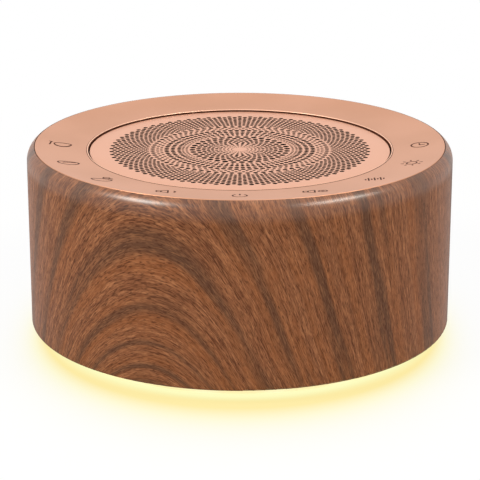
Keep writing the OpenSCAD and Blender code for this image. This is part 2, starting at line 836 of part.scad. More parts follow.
// Rubber ring in a groove of the base cover, over the screw heads
module foot_ring() {
    r0 = pillar_circle_r - foot_w / 2 + fit;
    r1 = pillar_circle_r + foot_w / 2 - fit;
    color("#3a3836") rotate_extrude() difference() {
        band(r0, r1, 0, foot_z1);
        corner_bevel(r0, 0, foot_bevel);
        corner_bevel(r1, 0, foot_bevel);
    }
}

module speaker_leads() {
    color("#b0322c") lead_pair(speaker_route);
}

module battery_leads() {
    color("#b0322c") lead_pair(battery_route);
}

module led_leads() {
    color("#e6e3da") lead_pair(led_route);
}

outer_shell();
control_ring();
speaker_grille();
grille_cloth();
top_frame();
touch_board();
touch_ribbon();
speaker_basket();
speaker_top_plate();
speaker_magnet();
speaker_yoke();
voice_coil();
spider();
cone();
dust_cap();
surround();
speaker_gasket();
speaker_terminals();
speaker_screws();
main_board();
board_screws();
chips();
capacitors();
inductor();
board_connectors();
usb_inlet();
battery_cell();
battery_tape();
base_cover();
base_screws();
led_board();
leds();
light_diffuser();
foot_ring();
speaker_leads();
battery_leads();
led_leads();
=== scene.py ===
import math
from collections import namedtuple

import bmesh
import bpy
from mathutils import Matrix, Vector


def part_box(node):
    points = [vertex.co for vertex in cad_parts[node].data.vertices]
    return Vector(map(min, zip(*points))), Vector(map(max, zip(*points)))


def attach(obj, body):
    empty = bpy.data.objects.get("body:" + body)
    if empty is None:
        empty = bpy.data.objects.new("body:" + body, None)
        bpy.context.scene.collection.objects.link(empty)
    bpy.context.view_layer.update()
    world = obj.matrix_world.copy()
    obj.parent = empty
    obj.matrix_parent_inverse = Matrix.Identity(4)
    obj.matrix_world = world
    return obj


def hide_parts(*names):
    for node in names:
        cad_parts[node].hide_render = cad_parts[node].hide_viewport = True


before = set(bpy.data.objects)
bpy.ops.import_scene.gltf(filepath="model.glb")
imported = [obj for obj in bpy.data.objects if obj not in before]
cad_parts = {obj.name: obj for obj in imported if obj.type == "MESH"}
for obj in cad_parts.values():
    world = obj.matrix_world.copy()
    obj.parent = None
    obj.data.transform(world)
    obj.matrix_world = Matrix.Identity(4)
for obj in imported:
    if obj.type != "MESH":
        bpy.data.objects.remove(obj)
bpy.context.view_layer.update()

MM = 0.001

# Control ring: sizes in metres, with the outside taken from the frame
# The arc of its bead ends at the foot, and the painted highlight on it at the shine, both angles in
# degrees.
RING_LOW, RING_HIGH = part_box("control_ring")
RING_R = RING_HIGH.x
RING_W = 14.5 * MM
RING_DISH = 1.75 * MM
RING_HOLLOW_R = 155 * MM
RING_EDGE = 0.15 * MM
BEAD_R = 0.22 * MM
BEAD_FOOT = 30
BEAD_SHINE = 60
SCRIBE_W = 0.08 * MM
SCRIBE_DEPTH = 0.09 * MM
GROOVE_W = 0.42 * MM
BORE_R = RING_R - RING_W

# Hollow of the ring: the centre of the arc that its upper face follows
DISH_CHORD = math.hypot(RING_W, RING_DISH)
DISH_HEIGHT = math.sqrt(RING_HOLLOW_R ** 2 - DISH_CHORD ** 2 / 4)
DISH_R = (RING_R + BORE_R) / 2 - DISH_HEIGHT * RING_DISH / DISH_CHORD
DISH_Z = RING_HIGH.z - RING_DISH / 2 + DISH_HEIGHT * RING_W / DISH_CHORD

# Grille: a shallow dish with groups of hole rings, each with its place in one wedge of the disc
GRILLE_LOW, GRILLE_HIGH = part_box("speaker_grille")
GRILLE_R = GRILLE_HIGH.x
LIP_R = GRILLE_R + GROOVE_W
GRILLE_EDGE = 0.2 * MM
GRILLE_DISH_R = 3000 * MM
GRILLE_CENTRE_DROP = 0.02 * MM
HOLE_SIDES = 12
RIM_SIDES = 288
WEDGES = 12
WELD_GAP = 0.002 * MM

# Radii in millimetres, angles in degrees; a ring is the last one times the ratio, less the step.
# The share is the part of its room round the ring that a hole takes up, and the stagger is the
# part of that room by which every second ring is shifted.
# The wedge edges are the angles that run between the holes of the even and of the odd rings.
HoleGroup = namedtuple(
    "HoleGroup", "name first ratio step rings holes share stagger turn wedge_edges"
)
HoleRing = namedtuple("HoleRing", "radius hole_r wedge_edge")
HOLE_GROUPS = [
    HoleGroup("Outer field", 36.2, 0.9768, 0.0, 15, 72, 0.44, 0.5, 0.0, (-1.25, -1.25)),
    HoleGroup("Collar", 24.65, 1.0, 0.0, 1, 72, 0.66, 0.0, 0.0, (-2.5, -2.5)),
    HoleGroup("Fine rings", 23.3, 1.0, 1.1, 2, 72, 0.49, 0.5, 2.5, (0.0, 2.5)),
    HoleGroup("Bold rings", 20.7, 1.0, 1.75, 3, 72, 0.82, 0.0, 2.5, (0.0, 0.0)),
    HoleGroup("Small rings", 16.1, 1.0, 1.05, 2, 72, 0.6, 0.0, 2.5, (0.0, 0.0)),
    HoleGroup("Heart rings", 13.42, 0.872, 0.0, 5, 36, 0.74, 0.5, 2.5, (-2.5, 2.5)),
    HoleGroup("Core rings", 6.6, 1.0, 1.06, 5, 24, 0.62, 0.0, 7.5, (0.0, 0.0)),
]

# Touch icons, on a circle of the ring; a nudge is an icon's way from its even place, in millimetres
ICON_CIRCLE_R = 50.4 * MM
ICON_STEP = math.radians(22.5)
ICON_NUDGES = [
    (0.3, 0.0), (-0.3, 0.0), (-1.0, 0.0), (0.1, 0.0), (0.0, 0.3),
    (0.3, 0.2), (0.2, 0.9), (0.4, 0.0), (0.4, -0.5),
]
ICON_LINE_W = 0.44 * MM
ICON_LINE_T = 0.06 * MM
ICON_LINE_STEP = 0.25 * MM
ICON_PROUD = 0.012 * MM

# Cloth discs: their number of sides, and the round edge and tiny eye of the dust cloth
CLOTH_SIDES = 96
CLOTH_EDGE = 0.15 * MM
CLOTH_EYE_R = 0.02 * MM

# Spider: corrugated cloth round the coil, lower at the coil so that the cone can come down to it
SPIDER_INNER_R = 7.2 * MM
SPIDER_T = 0.35 * MM
SPIDER_LIP_W = 2 * MM
SPIDER_FLAT_W = 0.5 * MM
SPIDER_WAVES = 4
SPIDER_WAVE_STEPS = 12
SPIDER_SAG = 0.8 * MM
SPIDER_SAG_W = 3.2 * MM

# Wooden shell, and the number of diodes in the ring of light under it
SHELL_LOW, SHELL_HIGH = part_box("outer_shell")
SHELL_R = SHELL_HIGH.x
LED_COUNT = 18

# Bend past which an edge stays sharp in smooth shading
SHARP_EDGE = math.radians(30)

# Floor, lamps and camera
FLOOR_HALF = 6.0
LAMP_AIM = Vector((0.0, 0.0, 0.03))
CAMERA_PLACE = Vector((0.0, -0.5279, 0.1978))
CAMERA_AIM = Vector((0.0, 0.0, 0.02985))
WHITE = (1.0, 1.0, 1.0)
WARM_WHITE = (1.0, 0.94, 0.85)


class Value:
    """One output of a node. Arithmetic on it adds Math nodes to the same tree."""

    def __init__(self, tree, socket):
        self.tree = tree
        self.socket = socket

    def __getitem__(self, name):
        return Value(self.tree, self.socket.node.outputs[name])

    def __add__(self, other):
        return self.tree.math("ADD", self, other)

    def __sub__(self, other):
        return self.tree.math("SUBTRACT", self, other)

    def __mul__(self, other):
        return self.tree.math("MULTIPLY", self, other)

    def __truediv__(self, other):
        return self.tree.math("DIVIDE", self, other)

    def __pow__(self, other):
        return self.tree.math("POWER", self, other)

    def __mod__(self, other):
        return self.tree.math("FLOORED_MODULO", self, other)

    def __radd__(self, other):
        return self.tree.math("ADD", other, self)

    def __rsub__(self, other):
        return self.tree.math("SUBTRACT", other, self)

    def __rmul__(self, other):
        return self.tree.math("MULTIPLY", other, self)

    def __rtruediv__(self, other):
        return self.tree.math("DIVIDE", other, self)

    def __rpow__(self, other):
        return self.tree.math("POWER", other, self)

    def __neg__(self):
        return self.tree.math("MULTIPLY", self, -1.0)


class Tree:
    """A node tree under construction."""

    def __init__(self, tree):
        self.tree = tree

    def node(self, kind, settings=None, sockets=None, out=0):
        """Adds any node: its settings first, then the values or links of its sockets."""
        made = self.tree.nodes.new(kind)
        for name, value in (settings or {}).items():
            if name == "stops":
                self.set_stops(made.color_ramp, value)
            else:
                setattr(made, name, value)
        for name, value in (sockets or {}).items():
            self.feed(made.inputs[name], value)
        return Value(self, made.outputs[out] if made.outputs else None)

    def set_stops(self, ramp, stops):
        while len(ramp.elements) < len(stops):
            ramp.elements.new(1.0)
        for element, (place, tone) in zip(ramp.elements, stops):
            element.position = place
            element.color = tone

    def feed(self, socket, value):
        """Gives a socket a plain value, a link or several links."""
        if isinstance(value, (list, tuple)) and value and isinstance(value[0], Value):
            for one in value:
                self.tree.links.new(one.socket, socket)
        elif isinstance(value, Value):
            self.tree.links.new(value.socket, socket)
        else:
            socket.default_value = value

    def math(self, operation, *values):
        return self.node("ShaderNodeMath", {"operation": operation}, dict(enumerate(values)))

    def root(self, value):
        return self.math("SQRT", value)

    def vector(self, x, y, z):
        return self.node("ShaderNodeCombineXYZ", sockets={"X": x, "Y": y, "Z": z})

    def axes(self, vector):
        parts = self.node("ShaderNodeSeparateXYZ", sockets={"Vector": vector})
        return parts["X"], parts["Y"], parts["Z"]

    def ease(self, value, low, high):
        """0 below low, 1 above high, and smooth between them; low may be the higher of the two."""
        return self.node(
            "ShaderNodeMapRange",
            {"interpolation_type": "SMOOTHSTEP"},
            {"Value": value, "From Min": low, "From Max": high},
        )

    def seen(self):
        """1 for what the camera, a mirror or glass shows, and 0 for what only lights a surface."""
        path = self.node("ShaderNodeLightPath", out="Is Camera Ray")
        mirrored = self.math("MAXIMUM", path["Is Glossy Ray"], path["Is Transmission Ray"])
        return self.math("MAXIMUM", path, mirrored)


class Finish(Tree):
    """A material with one Principled shader, with places in millimetres of Object coordinates."""

    def __init__(self, name):
        self.material = bpy.data.materials.new(name)
        self.material.use_nodes = True
        super().__init__(self.material.node_tree)
        self.shader = self.tree.nodes["Principled BSDF"]
        coordinates = self.node("ShaderNodeTexCoord", out="Object")
        self.mm = self.scaled(coordinates, 1000.0)

    def scaled(self, vector, factor):
        return self.node(
            "ShaderNodeVectorMath", {"operation": "SCALE"}, {"Vector": vector, "Scale": factor}
        )

    def noise(self, size, detail=2.0, roughness=0.5):
        """Cloudy noise with features about size millimetres across."""
        return self.node(
            "ShaderNodeTexNoise",
            {"noise_dimensions": "3D"},
            {"Vector": self.mm, "Scale": 1.0 / size, "Detail": detail, "Roughness": roughness},
        )

    def bands(self, line, width, detail=1.0, shift=0.0):
        """Uneven bands about width millimetres wide; a shift gives another set of them."""
        return self.node(
            "ShaderNodeTexNoise",
            {"noise_dimensions": "1D"},
            {"W": (line + shift) / width, "Scale": 1.0, "Detail": detail},
        )

    def streaks(self, line, along, across, shift=0.0):
        """Strokes along the lines of equal value, with their length and width in millimetres."""
        return self.node(
            "ShaderNodeTexNoise",
            {"noise_dimensions": "4D"},
            {
                "Vector": self.scaled(self.mm, 1.0 / along),
                "W": (line + shift) / across,
                "Scale": 1.0,
                "Detail": 1.0,
            },
        )

    def cells(self, size):
        """Distance to the nearest of many scattered points about size millimetres apart."""
        return self.node(
            "ShaderNodeTexVoronoi", sockets={"Vector": self.mm, "Scale": 1.0 / size}, out="Distance"
        )

    def mix(self, factor, first, second):
        """Mix of two colours; the node keeps its colour sockets behind those of other kinds."""
        return self.node(
            "ShaderNodeMix", {"data_type": "RGBA"}, {0: factor, 6: first, 7: second}, out=2
        )

    def ramp(self, value, *stops):
        return self.node("ShaderNodeValToRGB", {"stops": stops}, {"Fac": value})

    def bump(self, height, depth, strength):
        """Normal of a relief whose height of 1 stands depth millimetres proud."""
        return self.node(
            "ShaderNodeBump",
            sockets={"Height": height, "Strength": strength, "Distance": depth * MM},
        )

    def shade(self, sockets):
        for name, value in sockets.items():
            self.feed(self.shader.inputs[name], value)
        return self.material


class Grower(Tree):
    """A Geometry Nodes tree with named inputs, which leaves a plain mesh."""

    def __init__(self, name):
        super().__init__(bpy.data.node_groups.new(name, "GeometryNodeTree"))
        self.entry = self.tree.nodes.new("NodeGroupInput")
        self.given = {}

    def size(self, name, value, kind="NodeSocketFloat"):
        """A named input of the tree, with the value that the piece gives it."""
        item = self.tree.interface.new_socket(name, in_out="INPUT", socket_type=kind)
        self.given[item.identifier] = value
        return Value(self, self.entry.outputs[name])

    def count(self, name, value):
        return self.size(name, value, "NodeSocketInt")

    def shape(self, name, thing):
        """The geometry of another object, given as a named input."""
        source = self.size(name, thing, "NodeSocketObject")
        return self.node("GeometryNodeObjectInfo", sockets={"Object": source}, out="Geometry")

    def move(self, geometry, offset):
        return self.node(
            "GeometryNodeTransform", sockets={"Geometry": geometry, "Translation": offset}
        )

    def join(self, *geometries):
        last_first = list(reversed(geometries))
        return self.node("GeometryNodeJoinGeometry", sockets={"Geometry": last_first})

    def realize(self, geometry):
        return self.node("GeometryNodeRealizeInstances", sockets={"Geometry": geometry})

    def dress(self, geometry, name, material):
        """Sets a material that is given as a named input."""
        finish = self.size(name, material, "NodeSocketMaterial")
        return self.node(
            "GeometryNodeSetMaterial",
            sockets={"Geometry": self.realize(geometry), "Material": finish},
        )

    def grow(self, piece_name, geometry):
        """Evaluates the tree once and returns its geometry as a new piece."""
        self.tree.interface.new_socket(
            "Geometry", in_out="OUTPUT", socket_type="NodeSocketGeometry"
        )
        exit_node = self.tree.nodes.new("NodeGroupOutput")
        self.tree.links.new(geometry.socket, exit_node.inputs["Geometry"])
        piece = add_piece(piece_name, bpy.data.meshes.new(piece_name))
        modifier = piece.modifiers.new(self.tree.name, "NODES")
        modifier.node_group = self.tree
        for identifier, value in self.given.items():
            modifier[identifier] = value
        depsgraph = bpy.context.evaluated_depsgraph_get()
        mesh = bpy.data.meshes.new_from_object(piece.evaluated_get(depsgraph))
        piece.modifiers.clear()
        piece.data = mesh
        return piece


def colour(red, green, blue):
    """Linear colour of an sRGB one in steps of 255."""
    linear = []
    for part in (red, green, blue):
        share = part / 255
        linear.append(share / 12.92 if share <= 0.04045 else ((share + 0.055) / 1.055) ** 2.4)
    return (*linear, 1.0)


def toned(base, factor, lift=0.0):
    """A colour made darker or lighter."""
    return tuple(min(1.0, part * factor + lift) for part in base[:3]) + (1.0,)


def add_piece(name, data):
    """A new object in the scene."""
    piece = bpy.data.objects.new(name, data)
    bpy.context.scene.collection.objects.link(piece)
    return piece


def round_off(piece):
    """Smooth shading, broken at sharp edges."""
    piece.data.shade_smooth()
    piece.data.set_sharp_from_angle(angle=SHARP_EDGE)


def arc(centre, radius, start, stop, steps=8):
    """Points on an arc between two angles in degrees; radius may be (along x, along y)."""
    across, up = radius if isinstance(radius, tuple) else (radius, radius)
    points = []
    for i in range(steps + 1):
        angle = math.radians(start + (stop - start) * i / steps)
        points.append((centre[0] + across * math.cos(angle), centre[1] + up * math.sin(angle)))
    return points


def turned_mesh(name, profile, sides, closed=True):
    """Mesh of (radius, height) points turned round Z; an open profile leaves a strip."""
    count = len(profile)
    verts = []
    for i in range(sides):
        angle = 2 * math.pi * i / sides
        verts += [(r * math.cos(angle), r * math.sin(angle), z) for r, z in profile]
    faces = []
    for i in range(sides):
        here = i * count
        after = (i + 1) % sides * count
        for k in range(count if closed else count - 1):
            up = (k + 1) % count
            faces.append((here + k, after + k, after + up, here + up))
    mesh = bpy.data.meshes.new(name)
    mesh.from_pydata(verts, [], faces)
    return mesh


def point_outwards(mesh):
    """Turns the faces of a closed mesh outwards."""
    solid = bmesh.new()
    solid.from_mesh(mesh)
    bmesh.ops.recalc_face_normals(solid, faces=solid.faces)
    solid.to_mesh(mesh)
    solid.free()


# Finishes


def wood_shell():
    """Lacquered brown veneer: arches that open downwards at the front left, steep lines elsewhere."""
    arch_azimuth = math.radians(-114)
    arch_fall = 30.0
    arch_foot = 6.0
    dark_ring = 36.0
    ring_growth = 1.26
    polish_start = SHELL_HIGH.z / MM - 6.5
    polish_end = SHELL_HIGH.z / MM - 2.5
    f = Finish("wood_shell")
    x, y, z = f.axes(f.mm)
    turn = f.math("WRAP", f.math("ARCTAN2", y, x) - arch_azimuth, math.pi, -math.pi)
    round_wall = turn * (SHELL_R / MM)
    height = z - SHELL_LOW.z / MM + arch_foot
    ring = f.root(round_wall * round_wall + height * arch_fall)
    line = ring + (f.noise(70.0) - 0.5) * 5.0 + (f.noise(16.0) - 0.5) * 0.5
    rings_out = f.math("LOGARITHM", line / dark_ring, ring_growth)
    wave = f.math("COSINE", rings_out * (2 * math.pi)) * 0.5 + 0.5
    drift = f.streaks(line, along=45.0, across=2.6, shift=200.0)
    shade = f.ease(wave ** 2.5 * 0.3 + drift * 0.9, 0.5, 0.82)
    warm_bands = f.bands(line, width=6.0, shift=120.0) + (f.noise(20.0) - 0.5) * 0.6
    amber = f.ease(warm_bands, 0.42, 0.66)
    growth = f.ease(f.bands(line, width=1.2, detail=2.0), 0.3, 0.7)
    lines = f.ease(f.streaks(line, along=8.0, across=0.28, shift=60.0), 0.32, 0.68)
    strokes = f.ease(f.streaks(line, along=2.6, across=0.15, shift=20.0), 0.32, 0.68)
    pores = f.ease(f.streaks(line, along=1.4, across=0.13, shift=40.0), 0.5, 0.66)
    glints = f.ease(f.streaks(line, along=2.6, across=0.18, shift=80.0), 0.52, 0.7)
    brown = f.ramp(
        growth * 0.22 + lines * 0.3 + strokes * 0.48,
        (0.1, colour(88, 49, 27)),
        (0.5, colour(126, 78, 49)),
        (0.9, colour(158, 105, 70)),
    )
    warm = f.mix(amber * 0.4, brown, colour(142, 84, 44))
    banded = f.mix(shade * 0.76, warm, colour(78, 53, 38))
    pored = f.mix(pores * 0.7, banded, colour(64, 32, 16))
    lit = f.mix(glints * 0.3, pored, colour(174, 120, 80))
    polish = f.ease(z, polish_start, polish_end)
    relief = f.bump(1.0 - pores * 0.7 + strokes * 0.4, depth=0.02, strength=0.35)
    return f.shade({
        "Base Color": lit,
        "Roughness": 0.42 + pores * 0.12 + (f.noise(2.0) - 0.5) * 0.06,
        "Specular IOR Level": 0.08,
        "Coat Weight": 0.04 + polish * 0.36,
        "Coat Roughness": 0.3,
        "Coat IOR": 2.0,
        "Normal": relief,
    })


def rose_metal(name, base, rough):
    """Satin rose-gold coat over metal, with a slow change of tone and a fine blasted grain."""
    f = Finish(name)
    cloud = f.noise(26.0)
    fine = f.noise(0.16, 1.0)
    tone = f.mix(f.ease(cloud, 0.3, 0.7) * 0.4, base, colour(224, 168, 138))
    return f.shade({
        "Base Color": f.mix((fine - 0.4) * 0.3, tone, colour(190, 128, 100)),
        "Metallic": 0.9,
        "Roughness": rough + (fine - 0.5) * 0.08 + (cloud - 0.5) * 0.05,
        "Normal": f.bump(fine, 0.004, 0.5),
    })


def polished_edge():
    """Cut edge of the ring, in a paler colour that paints the highlight along its bead."""
    f = Finish("polished_edge")
    return f.shade({
        "Base Color": f.mix(f.noise(3.0), colour(230, 182, 154), colour(242, 198, 172)),
        "Metallic": 0.9,
        "Roughness": 0.5 + (f.noise(0.3) - 0.5) * 0.08,
    })


def dark_wall(name, dark, light):
    """Wall of a bore or hole, coloured dark for the painted shade inside it."""
    f = Finish(name)
    return f.shade({
        "Base Color": f.mix(f.noise(1.2), dark, light),
        "Roughness": 0.6 + (f.noise(0.4) - 0.5) * 0.2,
        "Specular IOR Level": 0.1,
    })


def icon_ink():
    """Dark brown ink with a little unevenness."""
    f = Finish("icon_ink")
    return f.shade({
        "Base Color": f.mix(f.noise(0.5), colour(60, 31, 20), colour(80, 45, 29)),
        "Roughness": 0.7 + (f.noise(0.2) - 0.5) * 0.15,
        "Specular IOR Level": 0.1,
    })


def woven(name, dark, light, pitch, rough):
    """Plain weave on the XY plane: two sets of threads that pass over each other in turn, with
    painted shade where the threads dip and a painted highlight on their crowns.
    """
    f = Finish(name)
    x, y, _ = f.axes(f.mm)
    warp = f.math("SINE", x * (math.pi / pitch))
    weft = f.math("SINE", y * (math.pi / pitch))
    over = f.ease(warp * weft, -0.4, 0.4)
    thread_relief_and_shade = over * f.math("ABSOLUTE", warp) + (1.0 - over) * f.math("ABSOLUTE", weft)
    fuzz = f.noise(pitch / 2)
    return f.shade({
        "Base Color": f.mix(thread_relief_and_shade * 0.7 + fuzz * 0.3, dark, light),
        "Roughness": rough + (fuzz - 0.5) * 0.1,
        "Sheen Weight": 0.15,
        "Normal": f.bump(thread_relief_and_shade + fuzz * 0.3, pitch * 0.25, 0.8),
    })


def moulded(name, base, rough, grain=0.35, depth=0.02):
    """Moulded plastic or rubber with a spark-eroded grain."""
    f = Finish(name)
    pits = f.cells(grain)
    cloud = f.noise(18.0)
    return f.shade({
        "Base Color": f.mix(cloud * 0.6 + pits * 0.3, base, toned(base, 1.35, lift=0.004)),
        "Roughness": rough + (pits - 0.4) * 0.1 + (cloud - 0.5) * 0.08,
        "Normal": f.bump(pits + f.noise(grain * 0.6), depth, 0.6),
    })


def circuit_board(name, mask, copper):
    """Solder mask over copper tracks that run square to each other."""
    lane_turn = 3.2
    wander = 9.0
    f = Finish(name)
    x, y, _ = f.axes(f.mm)
    lanes_x = f.math("SINE", x * lane_turn + f.noise(9.0) * wander)
    lanes_y = f.math("SINE", y * lane_turn + f.noise(11.0) * wander)
    side = f.ease(f.noise(8.0, 0.0), 0.49, 0.51)
    tracks = f.ease(lanes_x * side + lanes_y * (1.0 - side), 0.1, 0.3)
    vias = f.ease(f.cells(4.0), 0.13, 0.1)
    ground = f.mix(tracks * 0.55, mask, copper)
    return f.shade({
        "Base Color": f.mix(vias, ground, colour(196, 176, 120)),
        "Metallic": vias * 0.9,
        "Roughness": 0.34 + f.noise(0.7) * 0.12,
        "Normal": f.bump(tracks + vias * 0.5, 0.03, 0.7),
    })


def bare_metal(name, base, rough, brushed=0.0):
    """Plain metal with fine scratches, drawn out along Z where it is brushed."""
    f = Finish(name)
    x, y, z = f.axes(f.mm)
    drawn = f.vector(x, y, z * (1.0 - brushed * 0.9))
    scratch = f.node(
        "ShaderNodeTexNoise",
        {"noise_dimensions": "3D"},
        {"Vector": drawn, "Scale": 6.0, "Detail": 3.0},
    )
    stain = f.noise(5.0)
    return f.shade({
        "Base Color": f.mix(f.ease(stain, 0.3, 0.8) * 0.5, base, toned(base, 0.7)),
        "Metallic": 1.0,
        "Roughness": rough + (scratch - 0.5) * 0.2,
        "Normal": f.bump(scratch, 0.01, 0.5),
    })


def ferrite():
    """Dark sintered ceramic with fine pits."""
    f = Finish("ferrite")
    pits = f.ease(f.cells(0.5), 0.3, 0.1)
    return f.shade({
        "Base Color": f.mix(f.noise(3.0), colour(34, 33, 35), colour(58, 56, 58)),
        "Roughness": 0.62 + pits * 0.2,
        "Normal": f.bump(1.0 - pits, 0.05, 0.7),
    })


def paper_cone():
    """Pressed paper pulp with short fibres."""
    f = Finish("paper_cone")
    x, y, _ = f.axes(f.mm)
    turn = f.math("ARCTAN2", y, x)
    fibres = f.streaks(turn * 20.0, along=1.6, across=0.3)
    return f.shade({
        "Base Color": f.mix(f.ease(fibres, 0.35, 0.7), colour(38, 37, 37), colour(82, 79, 76)),
        "Roughness": 0.86 + (fibres - 0.5) * 0.1,
        "Normal": f.bump(fibres, 0.06, 0.7),
    })


def foam(name, base, cell):
    """Closed-cell foam, with painted shade where its surface dips between the cells."""
    f = Finish(name)
    bubble_relief_and_shade = f.cells(cell)
    return f.shade({
        "Base Color": f.mix(bubble_relief_and_shade, base, toned(base, 0.55)),
        "Roughness": 0.9 - bubble_relief_and_shade * 0.1,
        "Normal": f.bump(1.0 - bubble_relief_and_shade, cell * 0.4, 0.8),
    })


def wound_wire():
    """Enamelled copper turns on the coil, with painted shade between the turns and a painted
    highlight on their crowns.
    """
    wire_pitch = 0.18
    f = Finish("copper_wire")
    _, _, z = f.axes(f.mm)
    turn_relief_and_shade = f.math("ABSOLUTE", f.math("SINE", z * (math.pi / wire_pitch)))
    # The colour paints shade between the turns and highlight on their crowns.
    return f.shade({
        "Base Color": f.mix(turn_relief_and_shade, colour(120, 62, 26), colour(206, 132, 70)),
        "Metallic": 0.9,
        "Roughness": 0.3 + f.noise(1.0) * 0.1,
        "Normal": f.bump(turn_relief_and_shade, 0.06, 0.8),
    })


def pouch_foil():
    """Aluminium-faced film with soft creases."""
    f = Finish("pouch_foil")
    creases = f.noise(6.0, 4.0, 0.6)
    return f.shade({
        "Base Color": f.mix(creases, colour(160, 165, 172), colour(206, 210, 214)),
        "Metallic": 0.8,
        "Roughness": 0.3 + (creases - 0.5) * 0.3,
        "Normal": f.bump(creases, 0.25, 0.6),
    })


def milky_diffuser():
    """Lit milky plastic, a little brighter in front of each diode."""
    f = Finish("milky_diffuser")
    x, y, _ = f.axes(f.mm)
    spots = f.math("COSINE", f.math("ARCTAN2", y, x) * float(LED_COUNT)) * 0.5 + 0.5
    glow = f.mix(spots * spots, colour(255, 242, 184), colour(255, 249, 200))
    return f.shade({
        "Base Color": f.mix(f.noise(6.0), colour(150, 138, 96), colour(160, 148, 108)),
        "Roughness": 0.42 + (f.noise(0.6) - 0.5) * 0.1,
        "Emission Color": glow,
        "Emission Strength": 0.82,
    })


def diode():
    """Warm-white lamp: a yellow window in a white case."""
    f = Finish("led_yellow")
    _, _, z = f.axes(f.mm)
    case_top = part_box("leds")[1].z / MM
    window = f.ease(z, case_top - 0.9, case_top - 1.1)
    return f.shade({
        "Base Color": f.mix(window, colour(244, 243, 238), colour(255, 214, 110)),
        "Roughness": 0.4 + f.noise(0.5) * 0.1,
        "Emission Color": f.mix(window, (0.0, 0.0, 0.0, 1.0), colour(255, 226, 150)),
        "Emission Strength": 2.0,
    })


def charging_socket():
    """Plated steel sleeve round a dark tongue."""
    f = Finish("plated_socket")
    low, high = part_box("usb_inlet")
    centre = (low + high) / 2 / MM
    x, _, z = f.axes(f.mm)
    level = f.ease(f.math("ABSOLUTE", z - centre.z), 0.42, 0.38)
    middle = f.ease(f.math("ABSOLUTE", x - centre.x), 3.45, 3.4)
    tongue = level * middle
    brushed = f.noise(0.8, 3.0)
    return f.shade({
        "Base Color": f.mix(tongue, colour(206, 208, 212), colour(26, 26, 28)),
        "Metallic": 1.0 - tongue,
        "Roughness": 0.26 + brushed * 0.12 + tongue * 0.2,
        "Normal": f.bump(brushed, 0.01, 0.5),
    })


def foot_rubber():
    """Soft dark rubber with fine turned grooves."""
    groove_pitch = 1.2
    f = Finish("foot_rubber")
    x, y, _ = f.axes(f.mm)
    radius = f.root(x ** 2.0 + y ** 2.0)
    grooves = f.math("SINE", radius * (2 * math.pi / groove_pitch)) * 0.5 + 0.5
    dust = f.noise(3.0, 3.0)
    return f.shade({
        "Base Color": f.mix(f.ease(dust, 0.4, 0.8) * 0.6, colour(44, 42, 40), colour(74, 70, 66)),
        "Roughness": 0.78 + (dust - 0.5) * 0.14,
        "Normal": f.bump(grooves + dust * 0.2, 0.12, 0.6),
    })


# Pieces


def ring_height(radius):
    """Height of the ring's hollow face at a radius."""
    return DISH_Z - math.sqrt(RING_HOLLOW_R ** 2 - (radius - DISH_R) ** 2)


def make_control_ring(finish, highlight_edge_finish, groove_shade_finish):
    """Dished ring with a bead and a scribed line round its inner edge, the bead painted paler for its
    highlight.
    """
    top_steps = 28
    slack = 0.02 * MM
    edge_slot = 1
    bore_slot = 2
    bead_middle = LIP_R + BEAD_R
    bead_z = ring_height(bead_middle) - BEAD_R * math.sin(math.radians(BEAD_FOOT))
    bead = arc((bead_middle, bead_z), BEAD_R, 180, BEAD_FOOT, 10)
    bright_end = bead_middle + BEAD_R * math.cos(math.radians(BEAD_SHINE))
    bead_end = bead[-1][0]
    scribe_end = bead_end + SCRIBE_W
    scribe_middle = (bead_end + scribe_end) / 2
    top_end = RING_R - RING_EDGE
    outer = ring_height(top_end) - RING_EDGE
    profile = [(LIP_R, RING_LOW.z)] + bead
    profile.append((scribe_middle, ring_height(scribe_middle) - SCRIBE_DEPTH))
    for i in range(top_steps):
        radius = scribe_end + (top_end - scribe_end) * i / top_steps
        profile.append((radius, ring_height(radius)))
    profile += arc((top_end, outer), RING_EDGE, 90, 0, 5)
    profile.append((RING_R, RING_LOW.z))
    mesh = turned_mesh("touch_ring", profile, RIM_SIDES)
    for material in (finish, highlight_edge_finish, groove_shade_finish):
        mesh.materials.append(material)
    point_outwards(mesh)
    for face in mesh.polygons:
        reach = max(mesh.vertices[i].co.xy.length for i in face.vertices)
        # The bore takes the groove's painted shade, the inner part of the bead its painted highlight,
        # and the bead's outer part and the scribe painted shade.
        if reach < LIP_R + slack:
            face.material_index = bore_slot
        elif reach < bright_end + slack:
            face.material_index = edge_slot
        elif reach < scribe_end + slack:
            face.material_index = bore_slot
    piece = add_piece("touch_ring", mesh)
    round_off(piece)
    return piece


def hole_points(tree, wedges, group):
    """Points of one group of rings within a wedge of the disc; each keeps its hole's radius."""
    first = tree.size(group.name + " first radius", group.first * MM)
    ratio = tree.size(group.name + " ratio", group.ratio)
    step = tree.size(group.name + " step", group.step * MM)
    rings = tree.count(group.name + " rings", group.rings)
    holes = tree.count(group.name + " holes in a ring", group.holes)
    share = tree.size(group.name + " hole share", group.share)
    stagger = tree.size(group.name + " stagger", group.stagger)
    turn = tree.size(group.name + " turn", math.radians(group.turn))
    index = tree.node("GeometryNodeInputIndex")
    in_wedge = holes / wedges
    ring = tree.math("FLOOR", index / in_wedge)
    angle = (index - ring * in_wedge + (ring % 2.0) * stagger) * (2 * math.pi) / holes + turn
    radius = first * ratio ** ring - step * ring
    place = tree.vector(radius * tree.math("COSINE", angle), radius * tree.math("SINE", angle), 0.0)
    return tree.node("GeometryNodePoints", sockets={
        "Count": rings * in_wedge,
        "Position": place,
        "Radius": radius * share * math.pi / holes,
    })


